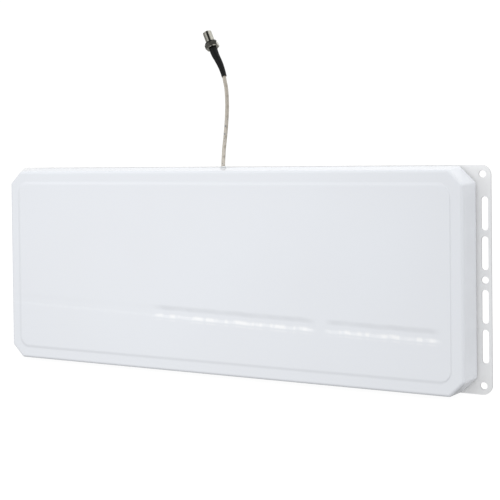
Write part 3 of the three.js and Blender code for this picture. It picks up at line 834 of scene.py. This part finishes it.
def make_connector(place):
    body = merged(
        "connector", [hexagon_collar(place), threaded_barrel(place), rear_stem(place)]
    )
    pieces = [add_piece("connector_shell", body, "nickel", "connector_body", sharp_angle=28)]

    inner, outer = FERRULE_RADII
    ferrule = rounded(
        [(inner, -FERRULE_LENGTH), (outer, -FERRULE_LENGTH), (outer, -GAP), (inner, -GAP)],
        0.3 * MM,
    )
    mesh = turned("ferrule", ferrule, place, 48, closed=True)
    pieces.append(add_piece("crimped_ferrule", mesh, "nickel", "crimp_ferrule"))

    ring_height = HEX_THICKNESS + GAP + O_RING_SECTION
    section = []
    for angle in range(0, 360, 20):
        out = O_RING_SECTION * math.cos(math.radians(angle))
        up = O_RING_SECTION * math.sin(math.radians(angle))
        section.append((O_RING_RADIUS + out, ring_height + up))
    mesh = turned("o_ring", section, place, 64, closed=True)
    pieces.append(add_piece("sealing_ring", mesh, "seal_rubber", "connector_o_ring"))

    end = HEX_THICKNESS + THREAD_LENGTH
    dielectric = rounded(
        [
            (DIELECTRIC_BORE, BORE_FLOOR + GAP),
            (BORE_RADIUS - GAP, BORE_FLOOR + GAP),
            (BORE_RADIUS - GAP, end - 4 * MM),
            (DIELECTRIC_BORE, end - 4 * MM),
        ],
        0.2 * MM,
    )
    mesh = turned("dielectric", dielectric, place, 40, closed=True)
    pieces.append(add_piece("dielectric_bush", mesh, "ptfe", "connector_insulator"))

    socket = [
        (0.2 * MM, BORE_FLOOR + GAP),
        (1.15 * MM, BORE_FLOOR + GAP),
        (1.15 * MM, end - 2.75 * MM),
        (1.0 * MM, end - 2.5 * MM),
        (0.75 * MM, end - 2.5 * MM),
        (0.7 * MM, end - 6 * MM),
        (0.1 * MM, end - 6 * MM),
    ]
    mesh = turned("socket", socket, place, 24)
    pieces.append(add_piece("centre_contact", mesh, "brass", "connector_contact"))
    return pieces


def make_pigtail():
    place = connector_place()
    cable, path = make_cable()
    sleeve = make_heat_shrink(place)
    pieces = [sleeve, *make_connector(place)]


make_pigtail()


# ---- Radome -------------------------------------------------------------------------------

RADOME_LOW, RADOME_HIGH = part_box("radome")
RIM_Y = -5 * MM
FACE_Y = -53.7 * MM
PAD_Y = RADOME_LOW.y
DRAFT = 4 * MM
CHAMFER_LEG = 20 * MM
VERTICAL_EDGE_RADIUS = 5 * MM
FRONT_EDGE_RADIUS = 4 * MM
WALL = 3 * MM
PAD_HALF_LENGTH = 320 * MM
PAD_HALF_HEIGHT = 117 * MM
PAD_CORNER = 12.2 * MM
PAD_RAMP = 5.2 * MM
PAD_END_RAMP = 0.38  # the right end's ramp, against the others
PAD_END_REACH = 1.4  # how far round its corners the steeper ramp runs
RIM_ROUNDING = 1.6 * MM
RIM_STEPS = 5
CUT = 2 - math.sqrt(2)  # how much of a cut corner's leg an inset of 1 takes away
ARC_STEPS = 7


def outline(half_length, half_height, leg, radius, y):
    """A rectangle with cut corners, its eight edges softened, as a ring of points."""
    x = half_length - radius
    z = half_height - radius
    cut_leg = leg - radius * CUT
    centres = [
        (x, z - cut_leg),
        (x - cut_leg, z),
        (cut_leg - x, z),
        (-x, z - cut_leg),
        (-x, cut_leg - z),
        (cut_leg - x, -z),
        (x - cut_leg, -z),
        (x, cut_leg - z),
    ]
    ring = []
    for k, (cx, cz) in enumerate(centres):
        for i in range(ARC_STEPS + 1):
            angle = (k + i / ARC_STEPS) * math.pi / 4
            ring.append(Vector((cx + radius * math.cos(angle), y, cz + radius * math.sin(angle))))
    return ring


def wall_ring(lean, y):
    """The radome's section where its wall has leaned in by the given distance."""
    leg = CHAMFER_LEG - lean * CUT
    return outline(RADOME_HIGH.x - lean, RADOME_HIGH.z - lean, leg, VERTICAL_EDGE_RADIUS, y)


def pad_ring(grow, y):
    """The raised field's outline, grown by a distance. Its ramp is steeper at the right end."""

    def plain(width):
        radius = PAD_CORNER + width
        return outline(PAD_HALF_LENGTH + width, PAD_HALF_HEIGHT + width, radius * CUT, radius, y)

    side = 1 if grow > PAD_RAMP / 2 else -1
    ring = []
    for point, middle in zip(plain(grow), plain(PAD_RAMP / 2)):
        step = point - middle
        endwards = max(0, side * step.x) / max(1e-9, step.length)
        share = min(1, PAD_END_REACH * endwards) if middle.x > 0 else 0
        ring.append(middle + step * (1 - (1 - PAD_END_RAMP) * share))
    return ring


def lean_at(y, inset=0.0):
    return inset + DRAFT * (RIM_Y - y) / (RIM_Y - FACE_Y)


def front_edge(inset, face_y, radius, steps):
    """Rings around the soft edge where a wall turns into the face, as (lean, y)."""
    slope = math.atan(DRAFT / (RIM_Y - FACE_Y))
    centre_y = face_y + radius
    centre_lean = lean_at(centre_y, inset) + radius / math.cos(slope)
    rings = []
    for i in range(steps + 1):
        angle = slope + (math.pi / 2 - slope) * i / steps
        rings.append((centre_lean - radius * math.cos(angle), centre_y - radius * math.sin(angle)))
    return rings


def make_radome():
    inner_face = FACE_Y + WALL
    inside = front_edge(WALL, inner_face, 1.5 * MM, 4)
    outside = front_edge(0, FACE_Y, FRONT_EDGE_RADIUS, 12)
    rings = [wall_ring(inside[-1][0] + 2 * MM, inner_face)]
    rings += [wall_ring(lean, y) for lean, y in reversed(inside)]
    rings += [
        wall_ring(WALL, RIM_Y - 0.4 * MM),
        wall_ring(WALL - 0.12 * MM, RIM_Y - 0.1 * MM),
        wall_ring(WALL - 0.4 * MM, RIM_Y),
    ]
    for i in range(RIM_STEPS + 1):
        angle = math.radians(90 * (1 - i / RIM_STEPS))
        y = RIM_Y - RIM_ROUNDING * (1 - math.sin(angle))
        rings.append(wall_ring(RIM_ROUNDING * (1 - math.cos(angle)), y))
    rings += [wall_ring(lean_at(y), y) for y in (-9 * MM, -20 * MM, -35 * MM, -47 * MM)]
    rings += [wall_ring(lean, y) for lean, y in outside]
    rings.append(wall_ring(outside[-1][0] + 1 * MM, FACE_Y))
    rings.append(pad_ring(PAD_RAMP + 0.8 * MM, FACE_Y))
    steps = 10
    for i in range(steps + 1):
        t = i / steps
        rise = (FACE_Y - PAD_Y) * (1 - math.cos(math.pi * t)) / 2
        rings.append(pad_ring(PAD_RAMP * (1 - t), FACE_Y - rise))
    rings.append(pad_ring(-1.2 * MM, PAD_Y))
    mesh = skin("radome_shell", rings)
    add_piece("radome_shell", mesh, "radome_plastic", "radome", sharp_angle=40)


make_radome()


# ---- Back plate ---------------------------------------------------------------------------

PLATE_LOW, PLATE_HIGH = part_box("back_plate")
PLATE_THICKNESS = PLATE_HIGH.y - PLATE_LOW.y
PLATE_CORNER = 12 * MM
EDGE_ROUNDING = 0.45 * MM
HOLE_RADIUS = 4.5 * MM
CORNER_HOLE = (349.5 * MM, 130.5 * MM)
SLOT_X = 352 * MM
SLOT_WIDTH = 8.5 * MM
SLOT_LENGTH = 42 * MM
SLOT_CENTRES = (-82 * MM, -33 * MM, 33 * MM, 82 * MM)
SCREW_THROAT = 2.2 * MM
SCREW_MOUTH = 4.4 * MM


def arc(x, z, radius, start, end, steps=12):
    points = []
    for i in range(steps + 1):
        angle = math.radians(start + (end - start) * i / steps)
        points.append((x + radius * math.cos(angle), z + radius * math.sin(angle)))
    return points


def rounded_rectangle(half_length, half_height, radius):
    x = half_length - radius
    z = half_height - radius
    return (
        arc(x, z, radius, 0, 90)
        + arc(-x, z, radius, 90, 180)
        + arc(-x, -z, radius, 180, 270)
        + arc(x, -z, radius, 270, 360)
    )


def slot_outline(x, z):
    radius = SLOT_WIDTH / 2
    reach = SLOT_LENGTH / 2 - radius
    return arc(x, z + reach, radius, 0, 180) + arc(x, z - reach, radius, 180, 360)


def circle(x, z, radius):
    return arc(x, z, radius, 0, 360, 36)[:-1]


def screw_nodes():
    return sorted(
        name
        for name in frame["nodes"]
        if name.startswith("radome_screw_") or name.startswith("tray_screw_")
    )


def screw_place(node):
    """Where a countersunk screw's head is: the middle of its top."""
    low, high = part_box(node)
    return Vector(((low.x + high.x) / 2, high.y, (low.z + high.z) / 2))


def punched_sheet(outlines):
    """A flat sheet in the XZ plane with rounded edges, from its outline and its holes."""
    curve = bpy.data.curves.new("sheet", "CURVE")
    curve.dimensions = "2D"
    curve.fill_mode = "BOTH"
    curve.extrude = PLATE_THICKNESS / 2 - EDGE_ROUNDING
    curve.bevel_depth = EDGE_ROUNDING
    curve.bevel_resolution = 2
    curve.offset = -EDGE_ROUNDING
    for points in outlines:
        spline = curve.splines.new("POLY")
        spline.points.add(len(points) - 1)
        for target, (x, z) in zip(spline.points, points):
            target.co = (x, z, 0, 1)
        spline.use_cyclic_u = True
    holder = bpy.data.objects.new("sheet", curve)
    bpy.context.scene.collection.objects.link(holder)
    depsgraph = bpy.context.evaluated_depsgraph_get()
    mesh = bpy.data.meshes.new_from_object(holder.evaluated_get(depsgraph))
    bpy.data.objects.remove(holder)
    mesh.transform(Matrix.Rotation(math.radians(90), 4, "X"))
    mesh.transform(Matrix.Translation((0, (PLATE_LOW.y + PLATE_HIGH.y) / 2, 0)))
    weld(mesh, 0.001 * MM)
    return mesh


def countersink(place):
    """The cone that a screw's hole opens into at the rear face, and its throat."""
    profile = [
        (SCREW_THROAT, -PLATE_THICKNESS - MM),
        (SCREW_THROAT, -2.2 * MM),
        (SCREW_MOUTH, 0.0),
        (SCREW_MOUTH + 0.25 * MM, 0.06 * MM),
        (SCREW_MOUTH + 0.25 * MM, MM),
    ]
    along_y = Matrix.Rotation(math.radians(-90), 4, "X")
    return turned("sink", profile, Matrix.Translation(place) @ along_y, 40)


def make_plate():
    outlines = [rounded_rectangle(PLATE_HIGH.x, PLATE_HIGH.z, PLATE_CORNER)]
    for side in (-1, 1):
        outlines.append(circle(side * SLOT_X, 0, HOLE_RADIUS))
        for z in (-CORNER_HOLE[1], CORNER_HOLE[1]):
            outlines.append(circle(side * CORNER_HOLE[0], z, HOLE_RADIUS))
        outlines += [slot_outline(side * SLOT_X, z) for z in SLOT_CENTRES]
    sheet = punched_sheet(outlines)
    sinks = []
    for node in screw_nodes():
        place = screw_place(node)
        sinks.append(countersink(Vector((place.x, PLATE_HIGH.y, place.z))))
    mesh = cut(sheet, merged("sinks", sinks))
    add_piece("mounting_plate", mesh, "powder_coat", "back_plate", sharp_angle=35)


make_plate()


# ---- Countersunk screws, seen from behind -------------------------------------------------


SHANK_RADIUS = 1.76 * MM
SCREW_PITCH = 0.7 * MM
SCREW_THREAD_DEPTH = 0.25 * MM
THREAD_STARTS = -2.6 * MM
SCREW_TURN = 1.7  # each screw's recess stops at its own angle


def screw_mesh(length):
    """A flat-head screw along -Y from the middle of its head, with a cross recess."""
    profile = [(radius * MM, height * MM) for radius, height in [
        (0.2, 0.0),
        (3.55, 0.0),
        (3.72, -0.12),
        (3.72, -0.3),
        (1.9, -2.05),
        (1.75, -2.4),
    ]]
    tip = -length + 1.2 * MM
    steps = int((THREAD_STARTS - tip) / SCREW_PITCH * 4)
    for i in range(steps + 1):
        profile.append((SHANK_RADIUS, THREAD_STARTS + (tip - THREAD_STARTS) * i / steps))
    profile += [(1.2 * MM, -length), (0.2 * MM, -length)]

    def shape(angle, radius, height):
        if abs(radius - SHANK_RADIUS) > 0.005 * MM:
            return radius
        turn = (height / SCREW_PITCH - angle / (2 * math.pi)) % 1
        return radius - SCREW_THREAD_DEPTH * (1 - abs(2 * turn - 1))

    body = turned("screw", profile, segments=24, shape=shape)
    for wing in recess_wings():
        body = cut(body, wing)
    body.transform(Matrix.Rotation(math.radians(-90), 4, "X"))
    return body


def recess_wings():
    """Two crossed wings that taper to the recess's floor."""
    wings = []
    for turn in (0, 90):
        rings = []
        for height, reach, half in ((0.3, 2.05, 0.42), (-1.5, 1.0, 0.3)):
            corners = [(reach, half), (-reach, half), (-reach, -half), (reach, -half)]
            rings.append([Vector((x, y, height)) * MM for x, y in corners])
        wing = skin("wing", rings)
        wing.transform(Matrix.Rotation(math.radians(turn + 20), 4, "Z"))
        wings.append(wing)
    return wings


def make_screws():
    meshes = {}
    for i, node in enumerate(screw_nodes()):
        low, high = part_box(node)
        length = high.y - low.y
        key = round(length / MM)
        if key not in meshes:
            meshes[key] = screw_mesh(length)
        name = node.replace("screw", "fixing")
        piece = add_piece(name, meshes[key].copy(), "plated_steel", node)
        place = Matrix.Translation(screw_place(node))
        piece.matrix_world = place @ Matrix.Rotation(i * SCREW_TURN, 4, "Y")


make_screws()


# ---- Grommet ------------------------------------------------------------------------------


def make_grommet():
    low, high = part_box("cable_grommet")
    bore = 2.95 * MM
    collar = (high.x - low.x) / 2
    neck = 3.6 * MM
    dome = 4.75 * MM
    top = high.z
    wall_out = 140.7 * MM
    wall_in = 136.2 * MM
    profile = [
        (bore, low.z + 0.3 * MM),
        (bore + 0.3 * MM, low.z),
        (collar - 0.5 * MM, low.z),
        (collar, low.z + 0.5 * MM),
        (collar, wall_in - 0.2 * MM),
        (collar - 0.2 * MM, wall_in),
        (neck, wall_in),
        (neck, wall_out),
        (dome - 0.1 * MM, wall_out),
        (dome, wall_out + 0.15 * MM),
    ]
    for i in range(1, 9):
        angle = math.radians(90 * i / 9)
        radius = 3.3 * MM + (dome - 3.3 * MM) * math.cos(angle)
        height = wall_out + 0.15 * MM + (top - wall_out - 0.15 * MM) * math.sin(angle)
        profile.append((radius, height))
    profile += [(3.15 * MM, top), (bore, top - 0.2 * MM)]
    place = Matrix.Translation((CABLE_EXIT.x, CABLE_EXIT.y, 0))
    mesh = turned("grommet", profile, place, 48, closed=True)
    add_piece("cable_bush", mesh, "white_silicone", "cable_grommet")


make_grommet()


# ---- CAD nodes that stay as they are ------------------------------------------------------


def finish_cad_nodes():
    slots = {entry["node"]: entry["material_slot"] for entry in frame["record"]["subparts"]}
    for name, node in frame["nodes"].items():
        finish = FINISHES[slots[name]]
        node.data.materials.clear()
        node.data.materials.append(finish)


finish_cad_nodes()


# ---- Studio -------------------------------------------------------------------------------

SKY_MEAN = 0.705
SKY_TILT = Vector((0.1, -0.15, 0.32))  # brighter above, darker below
# Soft panels of light: which way, the cosines of their edge and their core, how bright.
SOFT_PANELS = [
    (Vector((-0.3, 0.88, 0.37)), 0.72, 0.93, 1.06),
    (Vector((-0.88, 0.47, -0.05)), 0.8, 0.94, 0.86),
    (Vector((0.75, 0.3, 0.6)), 0.6, 0.95, 1.25),
    (Vector((0.6, 0.2, -0.75)), 0.55, 0.9, 0.35),
    (Vector((0, 0.1, -1)), 0.5, 0.9, 0.25),
    (Vector((-0.08, 0.72, -0.69)), 0.87, 0.95, 0.35),
]
# Black cards that only shape the sheen.
SHEEN_CARDS = [
    (Vector((-0.99, -0.1, 0.03)), 0.86, 0.96, 0.15),
    (Vector((-0.8, -0.42, -0.42)), 0.87, 0.96, 0.2),
    (Vector((0.44, -0.39, 0.81)), 0.93, 0.98, 0.1),
    (Vector((0.5, 0.58, 0.64)), 0.9, 0.97, 0.2),
    (Vector((0.52, -0.85, 0.0)), 0.93, 0.985, 0.1),
]
# A long black strip overhead, from the front to the top, seen only in the sheen.
STRIP_ACROSS = Vector((0.842, 0.413, 0.341))
STRIP_FRONT = Vector((0.307, -0.894, 0.324))
STRIP_EDGES = (0.28, 0.5)
STRIP_ENDS = (0.2, -0.05)
DARKEST_SKY = 0.04
DARKEST_CARD = 0.03
BACKDROP = 1.05
KEY_PLACE = Vector((-0.18, -0.78, 0.12))
KEY_TARGET = Vector((-0.08, 0, -0.01))
KEY_SIZE = (0.5, 0.32)
KEY_WATTS = 1.1


def make_world():
    """A soft studio all round: brighter above, darker below, and white to see."""
    world = bpy.data.worlds.new("studio")
    bpy.context.scene.world = world
    world.use_nodes = True
    tree = world.node_tree
    tree.nodes.clear()
    link = tree.links.new

    def math_node(operation, first, second):
        made = tree.nodes.new("ShaderNodeMath")
        made.operation = operation
        for socket, value in zip(made.inputs, (first, second)):
            if isinstance(value, (int, float)):
                socket.default_value = value
            else:
                link(value, socket)
        return made.outputs[0]

    direction = tree.nodes.new("ShaderNodeTexCoord").outputs["Generated"]

    def towards(axis):
        made = tree.nodes.new("ShaderNodeVectorMath")
        made.operation = "DOT_PRODUCT"
        made.inputs[1].default_value = axis
        link(direction, made.inputs[0])
        return made.outputs["Value"]

    def step(value, low, high):
        """A smooth step from 0 at low to 1 at high."""
        made = tree.nodes.new("ShaderNodeMapRange")
        made.interpolation_type = "SMOOTHSTEP"
        made.inputs["From Min"].default_value = low
        made.inputs["From Max"].default_value = high
        link(value, made.inputs["Value"])
        return made.outputs[0]

    def blended(level, axis, edge, core, brightness):
        """The level, with a soft-edged patch of another brightness in one direction."""
        patch = step(towards(axis.normalized()), edge, core)
        change = math_node("MULTIPLY", math_node("SUBTRACT", brightness, level), patch)
        return math_node("ADD", level, change)

    level = math_node("MAXIMUM", math_node("ADD", towards(SKY_TILT), SKY_MEAN), DARKEST_SKY)
    for panel in SOFT_PANELS:
        level = blended(level, *panel)
    carded = level
    for card in SHEEN_CARDS:
        carded = blended(carded, *card)

    off_strip = step(math_node("ABSOLUTE", towards(STRIP_ACROSS), 0), *STRIP_EDGES)
    behind = step(towards(STRIP_FRONT), *STRIP_ENDS)
    carded = math_node("MULTIPLY", carded, math_node("MAXIMUM", off_strip, behind))
    carded = math_node("MAXIMUM", carded, DARKEST_CARD)

    def glow(strength, colour=(0.985, 0.99, 1, 1)):
        made = tree.nodes.new("ShaderNodeBackground")
        made.inputs["Color"].default_value = colour
        if isinstance(strength, float):
            made.inputs["Strength"].default_value = strength
        else:
            link(strength, made.inputs["Strength"])
        return made.outputs[0]

    def chosen(ray, first, second):
        made = tree.nodes.new("ShaderNodeMixShader")
        link(tree.nodes.new("ShaderNodeLightPath").outputs[ray], made.inputs["Fac"])
        link(first, made.inputs[1])
        link(second, made.inputs[2])
        return made.outputs[0]

    light = chosen("Is Glossy Ray", glow(level), glow(carded))
    seen = chosen("Is Camera Ray", light, glow(BACKDROP, (1, 1, 1, 1)))
    link(seen, tree.nodes.new("ShaderNodeOutputWorld").inputs["Surface"])


def floor_material():
    """A lit white sweep: it glows through, so shadows on it stay faint."""
    s = Shader("floor", (0.12, 0.12, 0.12), 0.9)
    s.colour(s.mix(s.noise(0.4), (0.11, 0.11, 0.11), (0.13, 0.13, 0.13)))
    s.shader.inputs["Specular IOR Level"].default_value = 0
    s.shader.inputs["Emission Color"].default_value = (1, 1, 1, 1)
    s.shader.inputs["Emission Strength"].default_value = 0.93
    return s.material


def make_floor():
    """A plain pale floor under the panel. It throws no light back up."""
    half = 12
    z = CAD_BOX[0].z
    mesh = bpy.data.meshes.new("floor")
    mesh.from_pydata(
        [(-half, -half, z), (half, -half, z), (half, half, z), (-half, half, z)],
        [],
        [(0, 1, 2, 3)],
    )
    mesh.materials.append(floor_material())
    floor = bpy.data.objects.new("floor", mesh)
    bpy.context.scene.collection.objects.link(floor)
    floor.visible_diffuse = False
    floor.visible_glossy = False
    floor.visible_shadow = False


def make_key_light():
    """A soft box in front and to the left, which lets the light fall off along the face."""
    data = bpy.data.lights.new("key", "AREA")
    data.shape = "RECTANGLE"
    data.size, data.size_y = KEY_SIZE
    data.energy = KEY_WATTS
    light = bpy.data.objects.new("key", data)
    bpy.context.scene.collection.objects.link(light)
    light.location = KEY_PLACE
    light.rotation_euler = (KEY_TARGET - KEY_PLACE).to_track_quat("-Z", "Y").to_euler()
    light.visible_camera = False
    light.visible_glossy = False


make_world()
make_floor()
make_key_light()

view = bpy.context.scene.view_settings
view.view_transform = "Standard"
view.look = "None"
view.exposure = 0
view.gamma = 1
